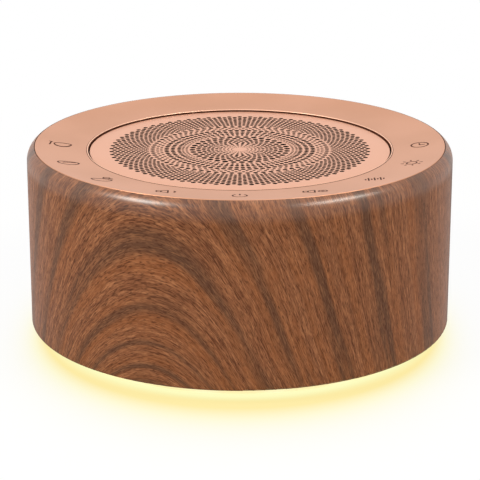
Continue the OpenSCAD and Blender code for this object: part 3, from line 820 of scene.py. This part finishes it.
def wedge_border(rim_r):
    """Outline of one wedge: its two edges jog between the rings, so that no hole is cut."""
    wedge = 360 / WEDGES
    rings = []
    for group in HOLE_GROUPS:
        for i in range(group.rings):
            radius = (group.first * group.ratio ** i - group.step * i) * MM
            hole_r = radius * group.share * math.pi / group.holes
            rings.append(HoleRing(radius, hole_r, group.wedge_edges[i % 2]))
    edge = [(rim_r, rings[0].wedge_edge)]
    for outer, inner in zip(rings, rings[1:]):
        if outer.wedge_edge != inner.wedge_edge:
            jog_r = (outer.radius - outer.hole_r + inner.radius + inner.hole_r) / 2
            edge += [(jog_r, outer.wedge_edge), (jog_r, inner.wedge_edge)]
    rim_steps = RIM_SIDES // WEDGES
    rim = [(rim_r, edge[0][1] + wedge * i / rim_steps) for i in range(1, rim_steps)]
    far_edge = [(r, angle + wedge) for r, angle in edge]
    outline = rim + far_edge + [(0.0, 0.0)] + edge[::-1]
    curve = bpy.data.curves.new("wedge_border", "CURVE")
    curve.dimensions = "3D"
    spline = curve.splines.new("POLY")
    spline.use_cyclic_u = True
    spline.points.add(len(outline) - 1)
    for point, (r, angle) in zip(spline.points, outline):
        turn = math.radians(angle)
        point.co = (r * math.cos(turn), r * math.sin(turn), 0.0, 1.0)
    return add_piece("wedge_border", curve)


def make_grille(finish, hole_shade_finish):
    """Perforated disc: one wedge with its holes, repeated round the axis inside a round rim."""
    t = Grower("rosette_plate")
    top = GRILLE_HIGH.z
    bottom = GRILLE_LOW.z
    field_r = GRILLE_R - GRILLE_EDGE
    rim_profile = arc((field_r, bottom + GRILLE_EDGE), GRILLE_EDGE, -90, 0, 4)
    rim_profile += arc((field_r, top - GRILLE_EDGE), GRILLE_EDGE, 0, 90, 4)
    rim = add_piece("rim_strip", turned_mesh("rim_strip", rim_profile, RIM_SIDES, closed=False))
    border = wedge_border(field_r)
    hole_sides = t.count("Hole sides", HOLE_SIDES)
    wedges = t.count("Wedges", WEDGES)
    high = t.size("Top", top)
    low = t.size("Bottom", bottom)
    dish_r = t.size("Dish radius", GRILLE_DISH_R)
    centre_drop = t.size("Centre drop", GRILLE_CENTRE_DROP)
    weld_gap = t.size("Weld gap", WELD_GAP)
    rim_shape = t.shape("Rim", rim)
    border_shape = t.shape("Wedge border", border)
    points = t.join(*(hole_points(t, wedges, group) for group in HOLE_GROUPS))
    hole_r = t.node("GeometryNodeInputRadius")
    hole_size = t.vector(hole_r, hole_r, 1.0)
    hole = t.node(
        "GeometryNodeCurvePrimitiveCircle", sockets={"Resolution": hole_sides, "Radius": 1.0}
    )
    outlines = t.node("GeometryNodeInstanceOnPoints", sockets={
        "Points": points, "Instance": hole, "Scale": hole_size,
    })
    face = t.node(
        "GeometryNodeFillCurve",
        {"mode": "TRIANGLES"},
        {"Curve": t.join(border_shape, t.realize(outlines))},
    )
    back = t.node("GeometryNodeFlipFaces", sockets={"Mesh": face})
    tube = t.node(
        "GeometryNodeMeshCylinder",
        {"fill_type": "NONE"},
        {"Vertices": hole_sides, "Radius": 1.0, "Depth": high - low},
        out="Mesh",
    )
    walls = t.node("GeometryNodeInstanceOnPoints", sockets={
        "Points": points,
        "Instance": t.node("GeometryNodeFlipFaces", sockets={"Mesh": tube}),
        "Scale": hole_size,
    })
    middle = (high + low) * 0.5
    sheet = t.join(t.move(face, t.vector(0.0, 0.0, high)), t.move(back, t.vector(0.0, 0.0, low)))
    tubes = t.move(t.realize(walls), t.vector(0.0, 0.0, middle))
    # The hole walls are dressed in the holes' painted shade.
    wedge = t.join(
        t.dress(sheet, "Plate material", finish),
        t.dress(tubes, "Hole material", hole_shade_finish),
    )
    axis = t.node("GeometryNodePoints", sockets={"Count": wedges})
    disc = t.node("GeometryNodeInstanceOnPoints", sockets={
        "Points": axis,
        "Instance": wedge,
        "Rotation": t.vector(0.0, 0.0, t.node("GeometryNodeInputIndex") * (2 * math.pi / wedges)),
    })
    whole = t.join(t.realize(disc), t.dress(rim_shape, "Rim material", finish))
    welded = t.node(
        "GeometryNodeMergeByDistance", sockets={"Geometry": whole, "Distance": weld_gap}
    )
    x, y, z = t.axes(t.node("GeometryNodeInputPosition"))
    dished = t.node("GeometryNodeSetPosition", sockets={
        "Geometry": welded,
        "Selection": t.math("GREATER_THAN", z, middle),
        "Offset": t.vector(0.0, 0.0, (x * x + y * y) / (dish_r * 2.0) - centre_drop),
    })
    piece = t.grow("rosette_grille", dished)
    for helper in (rim, border):
        bpy.data.objects.remove(helper)
    round_off(piece)
    return piece


def bowl(width, depth, rim, crown):
    """Bowl outline: a deep oval half below its rim and a shallow one above it."""
    below = arc((0, rim), (width / 2, depth), 180, 360, 14)
    above = arc((0, rim), (width / 2, crown), 0, 180, 10)
    return [below + above[1:]]


def loudspeaker(left):
    """Loudspeaker sign from its left end: a small box and the horn in front of it."""
    throat = left + 1.2
    mouth = left + 3.0
    half_box = 0.8
    half_horn = 1.7
    box = [(left, -half_box), (throat, -half_box), (throat, half_box), (left, half_box)]
    horn = [(throat, half_box), (mouth, half_horn), (mouth, -half_horn), (throat, -half_box)]
    return [box + box[:1], horn]


def icon_strokes():
    """Strokes of each icon in millimetres from its middle, in their order from left to right."""
    mallet_beside = [
        [(-4.0, 2.1), (-2.9, 2.1)],
        [(-3.3, 2.1), (-3.6, -1.2)],
        arc((0, 0.6), (2.2, 2.4), 215, 345),
    ]
    mallet_inside = [[(-1.2, 0.4), (2.0, 1.0)], [(-1.5, 0.0), (-0.9, 0.8)]]
    mallet_above = [
        [(0.3, 1.6), (1.9, 1.6), (1.9, 2.9), (0.3, 2.9), (0.3, 1.6)],
        [(1.9, 2.2), (2.9, 1.5)],
    ]
    bars = []
    for i, half in enumerate((0.7, 1.7) * 3 + (0.7,)):
        across = -2.4 + 0.8 * i
        bars.append([(across, -half), (across, half)])
    rays = []
    for i in range(8):
        angle = math.pi * i / 4
        rays.append([(r * math.cos(angle), r * math.sin(angle)) for r in (2.1, 3.0)])
    return [
        bowl(width=4.8, depth=2.8, rim=0.7, crown=1.0) + mallet_beside,
        bowl(width=5.8, depth=2.2, rim=0.5, crown=1.1) + mallet_inside,
        bowl(width=5.4, depth=2.2, rim=0.2, crown=0.7) + mallet_above,
        loudspeaker(-2.5) + [arc((0.9, 0), 1.5, -45, 45)],
        [arc((0, -0.1), 1.9, 125, 415, 18), [(0, 0.5), (0, 2.3)]],
        loudspeaker(-3.1) + [arc((2.0, 0), r, 0, 360, 16) for r in (0.3, 1.15)],
        bars,
        [arc((0, 0), 1.4, 0, 360, 20)] + rays,
        [arc((0, 0), 2.4, 0, 360, 28), [(0, 1.6), (0, 0), (1.5, 0)]],
    ]


def make_icons(finish):
    """Thin inlaid lines that lie on the ring's hollow face."""
    closing_gap = 0.001
    strokes = bpy.data.curves.new("icon_lines", "CURVE")
    strokes.dimensions = "3D"
    for i, icon in enumerate(icon_strokes()):
        angle = math.pi + ICON_STEP * i
        nudge = Vector((*ICON_NUDGES[i], 0.0)) * MM
        middle = Vector((math.cos(angle), math.sin(angle), 0.0)) * ICON_CIRCLE_R + nudge
        for stroke in icon:
            spline = strokes.splines.new("POLY")
            ends_meet = math.dist(stroke[0], stroke[-1]) < closing_gap
            points = stroke[:-1] if ends_meet else stroke
            spline.use_cyclic_u = ends_meet
            spline.points.add(len(points) - 1)
            for point, (across, up) in zip(spline.points, points):
                point.co = (middle.x + across * MM, middle.y + up * MM, 0.0, 1.0)
    lines = add_piece("icon_lines", strokes)
    t = Grower("inlaid_lines")
    width = t.size("Line width", ICON_LINE_W)
    thick = t.size("Line thickness", ICON_LINE_T)
    step = t.size("Line step", ICON_LINE_STEP)
    proud = t.size("Stands proud", ICON_PROUD)
    hollow_r = t.size("Hollow radius", RING_HOLLOW_R)
    hollow_x = t.size("Hollow centre radius", DISH_R)
    hollow_z = t.size("Hollow centre height", DISH_Z)
    upright = t.node(
        "GeometryNodeSetCurveNormal", {"mode": "Z_UP"}, {"Curve": t.shape("Lines", lines)}
    )
    path = t.node(
        "GeometryNodeResampleCurve", {"mode": "LENGTH"}, {"Curve": upright, "Length": step}
    )
    section = t.node(
        "GeometryNodeCurvePrimitiveQuadrilateral", sockets={"Width": width, "Height": thick}
    )
    ribbon = t.node("GeometryNodeCurveToMesh", sockets={
        "Curve": path, "Profile Curve": section, "Fill Caps": True,
    })
    x, y, z = t.axes(t.node("GeometryNodeInputPosition"))
    radius = t.root(x * x + y * y)
    surface = hollow_z - t.root(hollow_r * hollow_r - (radius - hollow_x) ** 2.0)
    laid = t.node("GeometryNodeSetPosition", sockets={
        "Geometry": ribbon,
        "Position": t.vector(x, y, z + surface + proud - thick * 0.5),
    })
    piece = t.grow("touch_icons", t.dress(laid, "Material", finish))
    bpy.data.objects.remove(lines)
    return piece


def make_dust_cloth(finish):
    """Thin cloth disc, stretched flat under the grille."""
    low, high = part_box("grille_cloth")
    profile = [(CLOTH_EYE_R, high.z)]
    profile += arc((high.x - CLOTH_EDGE, (low.z + high.z) / 2), CLOTH_EDGE, 90, -90, 6)
    profile.append((CLOTH_EYE_R, low.z))
    mesh = turned_mesh("dust_cloth", profile, CLOTH_SIDES)
    point_outwards(mesh)
    mesh.materials.append(finish)
    piece = add_piece("dust_cloth", mesh)
    round_off(piece)
    return piece, high.x


def make_spider(finish):
    """Corrugated cloth disc between the coil and its seat in the basket."""
    low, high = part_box("spider")
    wave_height = (high.z - low.z - SPIDER_T) / 2
    seat_z = low.z + wave_height
    wave_r = SPIDER_INNER_R + SPIDER_FLAT_W
    wave_w = high.x - SPIDER_LIP_W - SPIDER_FLAT_W - wave_r
    steps = SPIDER_WAVE_STEPS * SPIDER_WAVES
    under = [(SPIDER_INNER_R, seat_z - SPIDER_SAG)]
    for i in range(steps + 1):
        radius = wave_r + wave_w * i / steps
        near = max(0.0, 1 - (radius - SPIDER_INNER_R) / SPIDER_SAG_W)
        sag = SPIDER_SAG * near * near * (3 - 2 * near)
        wave = wave_height * math.sin(2 * math.pi * SPIDER_WAVES * i / steps)
        under.append((radius, seat_z + wave - sag))
    under.append((high.x, seat_z))
    over = [(radius, z + SPIDER_T) for radius, z in reversed(under)]
    mesh = turned_mesh("spider_cloth", under + over, CLOTH_SIDES)
    point_outwards(mesh)
    mesh.materials.append(finish)
    piece = add_piece("spider_cloth", mesh)
    round_off(piece)
    return piece


def make_socket_contacts(finish):
    """Two rows of contact strips on the tongue of the charging socket."""
    low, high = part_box("usb_inlet")
    centre = (low + high) / 2
    t = Grower("contact_rows")
    pitch = t.size("Pitch", 0.5 * MM)
    count = t.count("Contacts in a row", 12)
    width = t.size("Contact width", 0.25 * MM)
    length = t.size("Contact length", 3.6 * MM)
    thick = t.size("Contact thickness", 0.05 * MM)
    half_tongue = t.size("Half tongue thickness", 0.35 * MM)
    front = t.size("Front edge", high.y - 1.7 * MM)
    level = t.size("Tongue height", centre.z)
    strip_size = t.vector(width, length, thick)
    strip = t.node("GeometryNodeMeshCube", sockets={"Size": strip_size}, out="Mesh")
    index = t.node("GeometryNodeInputIndex")
    row = t.math("FLOOR", index / count)
    along = (index - row * count - (count - 1.0) * 0.5) * pitch
    side = row * 2.0 - 1.0
    place = t.vector(along, front - length * 0.5, level + side * (half_tongue + thick * 0.3))
    points = t.node("GeometryNodePoints", sockets={"Count": count * 2.0, "Position": place})
    rows = t.node("GeometryNodeInstanceOnPoints", sockets={"Points": points, "Instance": strip})
    return t.grow("socket_contacts", t.dress(rows, "Material", finish))


# Pieces of this script, each with its finish

rose_ring = rose_metal("rose_ring", colour(206, 148, 114), rough=0.4)
rose_grille = rose_metal("rose_grille", colour(230, 174, 145), rough=0.42)
black_cloth = woven("black_cloth", colour(14, 14, 14), colour(40, 40, 39), pitch=0.5, rough=0.92)
amber_cloth = woven("amber_cloth", colour(150, 110, 44), colour(206, 166, 84), pitch=0.4, rough=0.8)
gold_contacts = bare_metal("gold_contacts", colour(222, 180, 96), rough=0.25)
# Painted shade of the groove round the grille and of the ring's scribed line.
groove_wall = dark_wall("groove_wall", colour(62, 30, 16), colour(80, 42, 24))
# Painted shade inside the grille's holes.
hole_wall = dark_wall("hole_wall", colour(18, 17, 16), colour(32, 31, 30))

# The ring's bead gets a painted highlight, and its bore and scribe get painted shade.
touch_ring = make_control_ring(rose_ring, polished_edge(), groove_wall)
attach(touch_ring, "housing")
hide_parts("control_ring")

rosette = make_grille(rose_grille, hole_wall)
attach(rosette, "housing")
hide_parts("speaker_grille")

touch_icons = make_icons(icon_ink())
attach(touch_icons, "housing")

dust_cloth, cloth_r = make_dust_cloth(black_cloth)
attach(dust_cloth, "housing")
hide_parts("grille_cloth")

spider_cloth = make_spider(amber_cloth)
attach(spider_cloth, "housing")
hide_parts("spider")

socket_contacts = make_socket_contacts(gold_contacts)
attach(socket_contacts, "housing")

# Finishes of all other pieces

dark_plastic = moulded("dark_plastic", colour(40, 39, 40), rough=0.55)
green_board = circuit_board("green_board", colour(24, 74, 48), colour(46, 112, 72))
plated_steel = bare_metal("plated_steel", colour(196, 198, 202), rough=0.3)
red_lead = moulded("red_lead", colour(168, 40, 36), rough=0.45, grain=0.2, depth=0.01)
white_lead = moulded("white_lead", colour(214, 210, 202), rough=0.45, grain=0.2, depth=0.01)
black_rubber = moulded("black_rubber", colour(26, 26, 27), rough=0.6, grain=0.25, depth=0.015)
ribbon_film = moulded("ribbon_film", colour(206, 203, 194), rough=0.35, grain=0.4, depth=0.006)
chip_plastic = moulded("chip_plastic", colour(34, 35, 38), rough=0.5, grain=0.2, depth=0.008)
inductor_resin = moulded("inductor_resin", colour(70, 72, 76), rough=0.6, grain=0.25, depth=0.01)
ivory_plastic = moulded("ivory_plastic", colour(226, 220, 204), rough=0.45, grain=0.3, depth=0.008)
can_aluminium = bare_metal("can_aluminium", colour(190, 194, 198), rough=0.28, brushed=0.8)

FINISHES = {
    "outer_shell": wood_shell(),
    "top_frame": dark_plastic,
    "touch_board": green_board,
    "touch_ribbon": ribbon_film,
    "speaker_basket": bare_metal("pressed_steel", colour(74, 74, 78), rough=0.42),
    "speaker_top_plate": plated_steel,
    "speaker_magnet": ferrite(),
    "speaker_yoke": plated_steel,
    "voice_coil": wound_wire(),
    "cone": paper_cone(),
    "dust_cap": woven("cap_cloth", colour(30, 29, 29), colour(62, 60, 59), pitch=0.3, rough=0.7),
    "surround": black_rubber,
    "speaker_gasket": foam("foam_gasket", colour(44, 44, 46), cell=0.6),
    "speaker_terminals": bare_metal("brass_tags", colour(196, 164, 98), rough=0.3),
    "speaker_screws": plated_steel,
    "main_board": green_board,
    "board_screws": plated_steel,
    "chips": chip_plastic,
    "capacitors": can_aluminium,
    "inductor": inductor_resin,
    "board_connectors": ivory_plastic,
    "usb_inlet": charging_socket(),
    "battery_cell": pouch_foil(),
    "battery_tape": foam("foam_tape", colour(226, 220, 208), cell=0.4),
    "base_cover": dark_plastic,
    "base_screws": plated_steel,
    "led_board": circuit_board("white_board", colour(232, 232, 228), colour(214, 214, 210)),
    "leds": diode(),
    "light_diffuser": milky_diffuser(),
    "foot_ring": foot_rubber(),
    "speaker_leads": red_lead,
    "battery_leads": red_lead,
    "led_leads": white_lead,
}
for node_name, material in FINISHES.items():
    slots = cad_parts[node_name].data.materials
    slots.clear()
    slots.append(material)


# Stage


def floor_finish():
    """White floor with a painted pool of the base's warm light, which reaches further before and
    behind it.
    """
    f = Finish("studio_floor")
    shell_r = SHELL_R / MM
    near_start = shell_r - 7.0
    near_end = shell_r - 2.0
    side_start = shell_r - 3.6
    front_start = shell_r + 1.2
    side_fade = 3.9
    front_fade = 10.8
    fade_bend = 1.15
    open_start = shell_r + 30.0
    open_end = shell_r + 200.0
    least_own_light = 0.94
    x, y, _ = f.axes(f.mm)
    radius = f.root(x * x + y * y)
    front = (y / radius) ** 2.0
    past = f.math("MAXIMUM", radius - side_start - (front_start - side_start) * front, 0.0)
    fade = side_fade + (front_fade - side_fade) * front
    # Painted pool of warm light: a colour that fades out from the base, fed to the floor's emission.
    glow = math.e ** -((past / fade) ** fade_bend)
    painted_glow_fade = f.ramp(
        glow,
        (0.0, colour(255, 255, 255)),
        (0.5, colour(255, 251, 216)),
        (1.0, colour(255, 237, 164)),
    )
    painted_glow = f.mix(f.ease(radius, near_end, near_start), painted_glow_fade, colour(255, 254, 194))
    open_floor = f.ease(radius, open_start, open_end)
    own_light = least_own_light + open_floor * (1.0 - least_own_light)
    f.tree.nodes.remove(f.shader)
    matt = f.node("ShaderNodeBsdfDiffuse", sockets={"Color": (0.9, 0.9, 0.9, 1.0)})
    lit = f.node("ShaderNodeEmission", sockets={"Color": painted_glow, "Strength": 1.0})
    both = f.node("ShaderNodeMixShader", sockets={0: f.seen() * own_light, 1: matt, 2: lit})
    f.tree.links.new(both.socket, f.tree.nodes["Material Output"].inputs["Surface"])
    return f.material


def make_floor():
    """Flat floor, far wider than the view."""
    mesh = bpy.data.meshes.new("studio_floor")
    sides = ((-1, -1), (1, -1), (1, 1), (-1, 1))
    corners = [(x * FLOOR_HALF, y * FLOOR_HALF, 0.0) for x, y in sides]
    mesh.from_pydata(corners, [], [(0, 1, 2, 3)])
    mesh.materials.append(floor_finish())
    floor = add_piece("studio_floor", mesh)


def make_world():
    """White surroundings: full white to the camera and to reflections, softer as light."""
    light_share = 0.35
    world = bpy.data.worlds.new("studio_white")
    world.use_nodes = True
    bpy.context.scene.world = world
    w = Tree(world.node_tree)
    background = world.node_tree.nodes["Background"]
    background.inputs["Color"].default_value = (*WHITE, 1.0)
    w.feed(background.inputs["Strength"], w.seen() * (1.0 - light_share) + light_share)


def make_lamp(name, place, size, power, tone=WHITE):
    """Flat lamp of (width, height) that faces the object."""
    data = bpy.data.lights.new(name, "AREA")
    data.shape = "RECTANGLE"
    data.size, data.size_y = size
    data.energy = power
    data.color = tone
    lamp = add_piece(name, data)
    lamp.location = place
    lamp.rotation_euler = (LAMP_AIM - Vector(place)).to_track_quat("-Z", "Y").to_euler()


def make_camera():
    """Camera at the photograph's angle, with the frame shifted to its framing."""
    data = bpy.data.cameras.new("photo_camera")
    data.sensor_width = 36.0
    data.lens = 144.96
    data.shift_x = 0.0004
    data.shift_y = -0.0251
    camera = add_piece("photo_camera", data)
    camera.location = CAMERA_PLACE
    camera.rotation_euler = (CAMERA_AIM - CAMERA_PLACE).to_track_quat("-Z", "Y").to_euler()
    bpy.context.scene.camera = camera


make_floor()
make_world()
make_lamp("left_softbox", (-0.61, -0.36, 0.6), size=(0.34, 0.18), power=5.5, tone=WARM_WHITE)
make_lamp("right_softbox", (0.62, -0.33, 0.68), size=(0.5, 0.12), power=4.8, tone=WARM_WHITE)
make_lamp("top_softbox", (0.0, 0.15, 0.9), size=(0.8, 0.8), power=1.2)
make_camera()
bpy.context.scene.view_settings.view_transform = "Standard"
